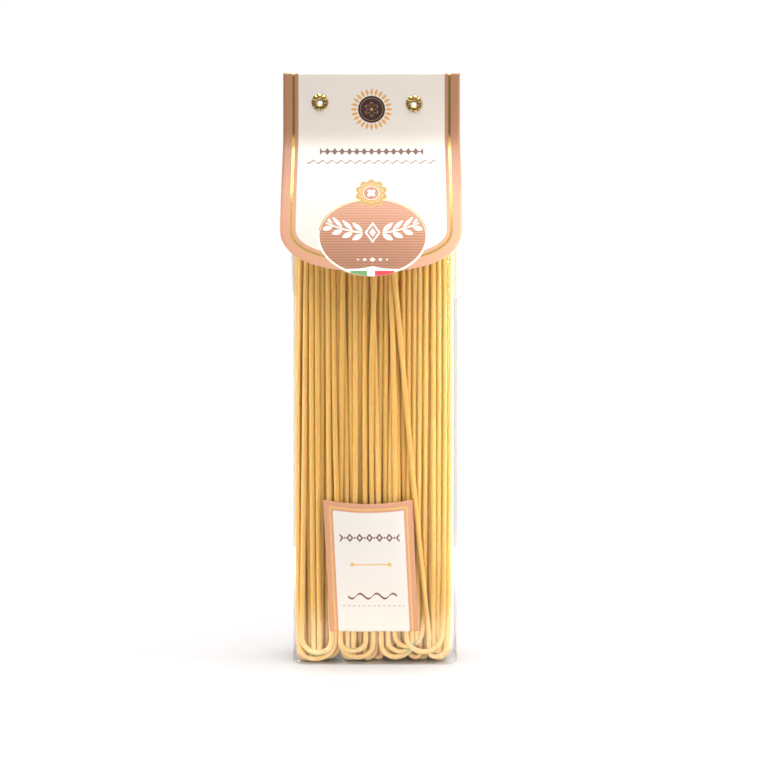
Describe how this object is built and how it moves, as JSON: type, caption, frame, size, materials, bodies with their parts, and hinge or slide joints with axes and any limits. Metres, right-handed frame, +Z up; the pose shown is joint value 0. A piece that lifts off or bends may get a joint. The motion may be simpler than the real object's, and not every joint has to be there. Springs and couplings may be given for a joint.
{
  "type": "bag of dry spaghetti",
  "caption": "Clear upright bag of long hairpin spaghetti on a flat block base, closed by a folded header card with brass eyelets and a small paper label.",
  "frame": {"origin": "middle of the bag's base, on the surface it stands on", "axes": "+X to the right of the front, +Y to the back, +Z up; the label and the front flap face -Y"},
  "size_m": [0.0966, 0.0566, 0.311],
  "materials": {
    "film": "clear gloss film",
    "pasta": "matt, finely rough, as drawn through a bronze die",
    "card": "uncoated cream board with printed bands and a gold foil line",
    "label": "uncoated cream paper with a printed border and a gold foil line",
    "brass": "antique, worn bright on the raised parts"
  },
  "bodies": {
    "root": {"bag": "film", "header_card": "card", "eyelet_left": "brass", "eyelet_right": "brass", "label": "label"}
  },
  "joints": []
}
